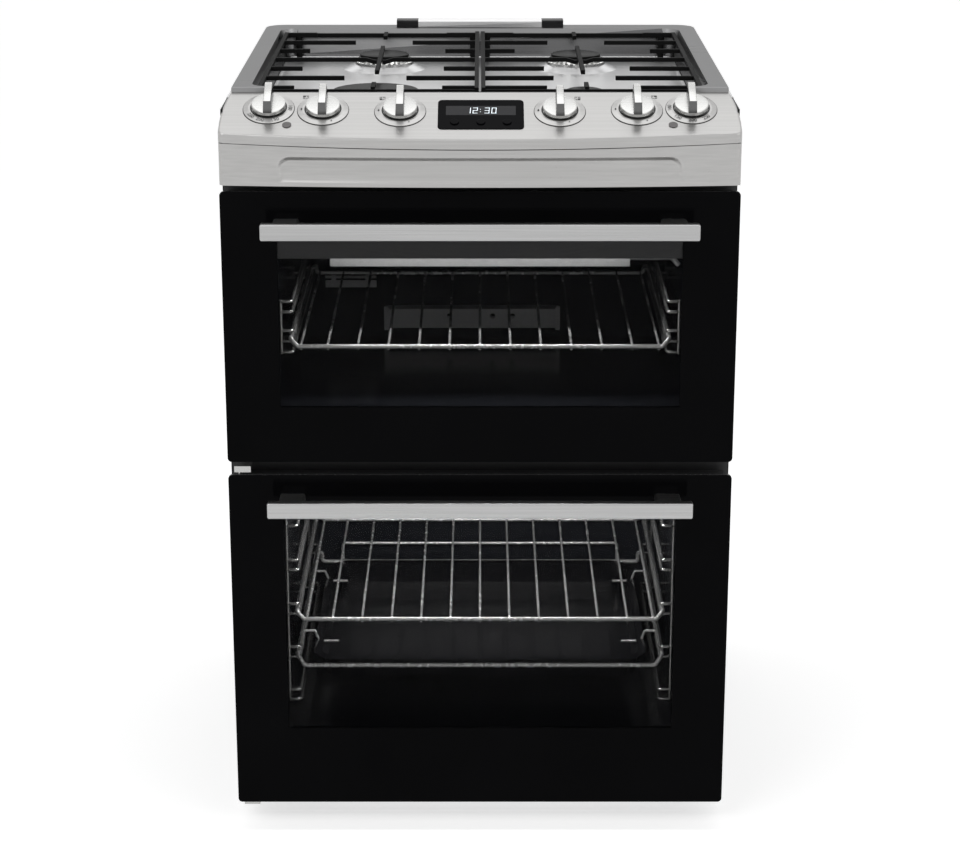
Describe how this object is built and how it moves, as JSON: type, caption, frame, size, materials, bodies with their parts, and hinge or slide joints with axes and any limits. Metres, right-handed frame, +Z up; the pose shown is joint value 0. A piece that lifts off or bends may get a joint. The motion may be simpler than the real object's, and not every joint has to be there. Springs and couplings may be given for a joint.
{
  "type": "gas cooker",
  "caption": "Free-standing double-oven gas cooker with a four-burner hob, sloping control panel, drop-down upper door and side-opening lower door, both with dark glass and bar handles",
  "frame": {"origin": "on the floor, under the middle of the whole cooker's width and depth", "axes": "+Z up, the front faces -Y, +X is to the right seen from the front"},
  "size_m": [0.6, 0.635, 0.9095],
  "materials": {
    "casing_black": "satin",
    "galvanised": "satin",
    "black_enamel": "gloss",
    "screw": "satin",
    "stainless": "satin",
    "clock_face": "gloss",
    "board": "matte",
    "lamp_smoke": "gloss",
    "brass": "satin",
    "oven_enamel": "gloss",
    "insulation": "matte",
    "door_glass": "gloss",
    "inner_glass": "gloss",
    "handle_metal": "satin",
    "seal_rubber": "matte",
    "wire": "polished",
    "cast_iron": "matte",
    "burner_alloy": "satin",
    "ceramic": "gloss",
    "lamp_glass": "gloss",
    "foot_black": "matte",
    "knob_metal": "satin",
    "plunger_steel": "satin"
  },
  "bodies": {
    "cooker": {"side_panels": "casing_black", "back_panel": "galvanised", "base_tray": "galvanised", "front_frame": "black_enamel", "mid_rail": "casing_black", "hinge_brackets": "screw", "hob_tray": "stainless", "control_panel": "stainless", "fascia": "stainless", "flue_trim": "stainless", "clock_glass": "clock_face", "clock_module": "board", "indicator_lamps": "lamp_smoke", "knob_bezels": "stainless", "gas_taps": "brass", "gas_rail": "galvanised", "upper_oven_liner": "oven_enamel", "lower_oven_liner": "oven_enamel", "oven_insulation": "insulation", "oven_seals": "seal_rubber", "shelf_runners": "wire", "burner_crowns": "burner_alloy", "burner_bases": "burner_alloy", "ignition_electrodes": "ceramic", "oven_burners": "stainless", "oven_lamp": "lamp_glass", "feet": "foot_black", "fasteners": "screw"},
    "upper_door": {"upper_door_glass": "door_glass", "upper_door_frame": "black_enamel", "upper_inner_glass": "inner_glass", "upper_door_handle": "handle_metal"},
    "lower_door": {"lower_door_glass": "door_glass", "lower_door_frame": "black_enamel", "lower_inner_glass": "inner_glass", "lower_door_handle": "handle_metal"},
    "upper_rack": {"upper_shelf": "wire"},
    "lower_rack": {"lower_shelf": "wire"},
    "pan": {"roasting_pan": "black_enamel"},
    "support_left": {"pan_support_left": "cast_iron"},
    "support_right": {"pan_support_right": "cast_iron"},
    "cap_rear_left": {"burner_cap_rear_left": "black_enamel"},
    "cap_rear_right": {"burner_cap_rear_right": "black_enamel"},
    "cap_front_left": {"burner_cap_front_left": "black_enamel"},
    "cap_front_right": {"burner_cap_front_right": "black_enamel"},
    "turn_1": {"knob_1": "knob_metal"},
    "push_1": {"tap_plunger_1": "plunger_steel"},
    "turn_2": {"knob_2": "knob_metal"},
    "push_2": {"tap_plunger_2": "plunger_steel"},
    "turn_3": {"knob_3": "knob_metal"},
    "push_3": {"tap_plunger_3": "plunger_steel"},
    "turn_4": {"knob_4": "knob_metal"},
    "push_4": {"tap_plunger_4": "plunger_steel"},
    "turn_5": {"knob_5": "knob_metal"},
    "push_5": {"tap_plunger_5": "plunger_steel"},
    "turn_6": {"knob_6": "knob_metal"},
    "push_6": {"tap_plunger_6": "plunger_steel"},
    "button_1": {"clock_button_1": "clock_face"},
    "button_2": {"clock_button_2": "clock_face"},
    "button_3": {"clock_button_3": "clock_face"}
  },
  "joints": [
    {"name": "door_lower", "type": "hinge", "parent": "cooker", "child": "lower_door", "pos_m": [-0.284, -0.2565, 0.2388], "axis": [0, 0, -1], "range_deg": [0, 100]},
    {"name": "door_upper", "type": "hinge", "parent": "cooker", "child": "upper_door", "pos_m": [0, -0.2585, 0.478], "axis": [1, 0, 0], "range_deg": [0, 90], "stiffness_Nm_per_rad": 3.6, "springref_deg": -11.46},
    {"name": "knob_1_push", "type": "slide", "parent": "cooker", "child": "push_1", "axis": [0, 0.4222, -0.9065], "range_m": [0, 0.003], "stiffness_N_per_m": 800, "springref_m": -0.002},
    {"name": "knob_1_turn", "type": "hinge", "parent": "push_1", "child": "turn_1", "pos_m": [-0.2425, -0.22784, 0.87987], "axis": [0, -0.4222, 0.9065], "range_deg": [0, 270]},
    {"name": "knob_2_push", "type": "slide", "parent": "cooker", "child": "push_2", "axis": [0, 0.4222, -0.9065], "range_m": [0, 0.003], "stiffness_N_per_m": 800, "springref_m": -0.002},
    {"name": "knob_2_turn", "type": "hinge", "parent": "push_2", "child": "turn_2", "pos_m": [-0.18, -0.23034, 0.87871], "axis": [0, -0.4222, 0.9065], "range_deg": [0, 200]},
    {"name": "knob_3_push", "type": "slide", "parent": "cooker", "child": "push_3", "axis": [0, 0.4222, -0.9065], "range_m": [0, 0.003], "stiffness_N_per_m": 800, "springref_m": -0.002},
    {"name": "knob_3_turn", "type": "hinge", "parent": "push_3", "child": "turn_3", "pos_m": [-0.0915, -0.23261, 0.87765], "axis": [0, -0.4222, 0.9065], "range_deg": [0, 200]},
    {"name": "knob_4_push", "type": "slide", "parent": "cooker", "child": "push_4", "axis": [0, 0.4222, -0.9065], "range_m": [0, 0.003], "stiffness_N_per_m": 800, "springref_m": -0.002},
    {"name": "knob_4_turn", "type": "hinge", "parent": "push_4", "child": "turn_4", "pos_m": [0.0915, -0.23261, 0.87765], "axis": [0, -0.4222, 0.9065], "range_deg": [0, 200]},
    {"name": "knob_5_push", "type": "slide", "parent": "cooker", "child": "push_5", "axis": [0, 0.4222, -0.9065], "range_m": [0, 0.003], "stiffness_N_per_m": 800, "springref_m": -0.002},
    {"name": "knob_5_turn", "type": "hinge", "parent": "push_5", "child": "turn_5", "pos_m": [0.18, -0.23034, 0.87871], "axis": [0, -0.4222, 0.9065], "range_deg": [0, 200]},
    {"name": "knob_6_push", "type": "slide", "parent": "cooker", "child": "push_6", "axis": [0, 0.4222, -0.9065], "range_m": [0, 0.003], "stiffness_N_per_m": 800, "springref_m": -0.002},
    {"name": "knob_6_turn", "type": "hinge", "parent": "push_6", "child": "turn_6", "pos_m": [0.2425, -0.22784, 0.87987], "axis": [0, -0.4222, 0.9065], "range_deg": [0, 270]},
    {"name": "press_button_1", "type": "slide", "parent": "cooker", "child": "button_1", "axis": [0, 0.4222, -0.9065], "range_m": [0, 0.001], "stiffness_N_per_m": 300, "springref_m": -0.001},
    {"name": "press_button_2", "type": "slide", "parent": "cooker", "child": "button_2", "axis": [0, 0.4222, -0.9065], "range_m": [0, 0.001], "stiffness_N_per_m": 300, "springref_m": -0.001},
    {"name": "press_button_3", "type": "slide", "parent": "cooker", "child": "button_3", "axis": [0, 0.4222, -0.9065], "range_m": [0, 0.001], "stiffness_N_per_m": 300, "springref_m": -0.001},
    {"name": "lift_support_left", "type": "slide", "parent": "cooker", "child": "support_left", "axis": [0, 0, 1], "range_m": [0, 0.1]},
    {"name": "lift_support_right", "type": "slide", "parent": "cooker", "child": "support_right", "axis": [0, 0, 1], "range_m": [0, 0.1]},
    {"name": "lift_cap_rear_left", "type": "slide", "parent": "cooker", "child": "cap_rear_left", "axis": [0, 0, 1], "range_m": [0, 0.05]},
    {"name": "lift_cap_rear_right", "type": "slide", "parent": "cooker", "child": "cap_rear_right", "axis": [0, 0, 1], "range_m": [0, 0.05]},
    {"name": "lift_cap_front_left", "type": "slide", "parent": "cooker", "child": "cap_front_left", "axis": [0, 0, 1], "range_m": [0, 0.05]},
    {"name": "lift_cap_front_right", "type": "slide", "parent": "cooker", "child": "cap_front_right", "axis": [0, 0, 1], "range_m": [0, 0.05]},
    {"name": "slide_upper_shelf", "type": "slide", "parent": "cooker", "child": "upper_rack", "axis": [0, -1, 0], "range_m": [0, 0.165]},
    {"name": "slide_lower_shelf", "type": "slide", "parent": "cooker", "child": "lower_rack", "axis": [0, -1, 0], "range_m": [0, 0.105]},
    {"name": "slide_roasting_pan", "type": "slide", "parent": "cooker", "child": "pan", "axis": [0, -1, 0], "range_m": [0, 0.105]}
  ],
  "couplings": [
    {"joint": "lift_cap_front_left", "follows": "lift_support_left", "ratio": 0.5},
    {"joint": "slide_upper_shelf", "follows": "door_upper", "m_per_rad": 0.105},
    {"joint": "slide_lower_shelf", "follows": "door_lower", "m_per_rad": 0.06},
    {"joint": "slide_roasting_pan", "follows": "door_lower", "m_per_rad": 0.06}
  ]
}
